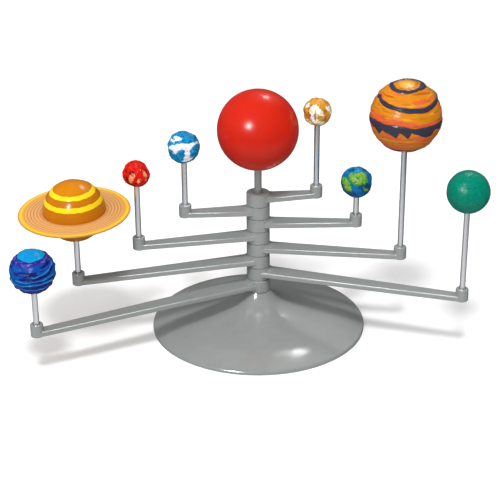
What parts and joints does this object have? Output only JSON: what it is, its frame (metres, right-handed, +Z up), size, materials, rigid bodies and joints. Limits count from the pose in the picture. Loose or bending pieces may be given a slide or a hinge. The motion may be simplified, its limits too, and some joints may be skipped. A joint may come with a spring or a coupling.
{
  "type": "orrery",
  "caption": "Desk orrery on a round flared base: coloured planet balls stand on steel rods at the ends of swinging arms, stacked on a centre post under a large red Sun ball.",
  "frame": {"origin": "on the centre post's axis, at the table, in the middle of the base's underside", "axes": "+Z up along the centre post; +X towards the right-hand arms; -Y towards the viewer"},
  "size_m": [0.2828, 0.1474, 0.1675],
  "materials": {
    "grey_plastic": "satin moulded grey plastic",
    "rod_steel": "bright drawn steel",
    "ring_card": "tan with fine rings and a yellow outer band",
    "sun_paint": "glossy red paint on a foam ball",
    "mercury_paint": "hand-painted foam, golden orange with white patches, lumpy",
    "venus_paint": "hand-painted foam, sky blue with white patches, lumpy",
    "earth_paint": "hand-painted foam, blue with raised green land",
    "mars_paint": "hand-painted foam, red with orange streaks, lumpy",
    "jupiter_paint": "hand-painted foam, orange with raised dark bands",
    "saturn_paint": "hand-painted foam, orange-brown with yellow bands",
    "uranus_paint": "hand-painted foam, green, finely pitted",
    "neptune_paint": "hand-painted foam, blue with raised wavy bands"
  },
  "bodies": {
    "stand": {"base": "grey_plastic", "centre_post": "grey_plastic", "sun_ball": "sun_paint"},
    "mercury": {"mercury_arm": "grey_plastic", "mercury_rod": "rod_steel", "mercury_ball": "mercury_paint"},
    "venus": {"venus_arm": "grey_plastic", "venus_rod": "rod_steel", "venus_ball": "venus_paint"},
    "earth": {"earth_arm": "grey_plastic", "earth_rod": "rod_steel", "earth_ball": "earth_paint"},
    "mars": {"mars_arm": "grey_plastic", "mars_rod": "rod_steel", "mars_ball": "mars_paint"},
    "jupiter": {"jupiter_arm": "grey_plastic", "jupiter_rod": "rod_steel", "jupiter_ball": "jupiter_paint"},
    "saturn": {"saturn_arm": "grey_plastic", "saturn_rod": "rod_steel", "saturn_ball": "saturn_paint", "saturn_ring": "ring_card"},
    "uranus": {"uranus_arm": "grey_plastic", "uranus_rod": "rod_steel", "uranus_ball": "uranus_paint"},
    "neptune": {"neptune_arm": "grey_plastic", "neptune_rod": "rod_steel", "neptune_ball": "neptune_paint"}
  },
  "joints": [
    {"name": "mercury_swing", "type": "hinge", "parent": "stand", "child": "mercury", "pos_m": [0, 0, 0.0877], "axis": [0, 0, 1], "range_deg": [-80, 80]},
    {"name": "venus_swing", "type": "hinge", "parent": "stand", "child": "venus", "pos_m": [0, 0, 0.0793], "axis": [0, 0, 1], "range_deg": [-80, 80]},
    {"name": "earth_swing", "type": "hinge", "parent": "stand", "child": "earth", "pos_m": [0, 0, 0.0709], "axis": [0, 0, 1], "continuous": true},
    {"name": "mars_swing", "type": "hinge", "parent": "stand", "child": "mars", "pos_m": [0, 0, 0.0625], "axis": [0, 0, 1], "continuous": true},
    {"name": "jupiter_swing", "type": "hinge", "parent": "stand", "child": "jupiter", "pos_m": [0, 0, 0.0541], "axis": [0, 0, 1], "range_deg": [-75, 75]},
    {"name": "saturn_swing", "type": "hinge", "parent": "stand", "child": "saturn", "pos_m": [0, 0, 0.0457], "axis": [0, 0, 1], "range_deg": [-95, 65]},
    {"name": "uranus_swing", "type": "hinge", "parent": "stand", "child": "uranus", "pos_m": [0, 0, 0.0373], "axis": [0, 0, 1], "range_deg": [-65, 95]},
    {"name": "neptune_swing", "type": "hinge", "parent": "stand", "child": "neptune", "pos_m": [0, 0, 0.0289], "axis": [0, 0, 1], "continuous": true}
  ]
}
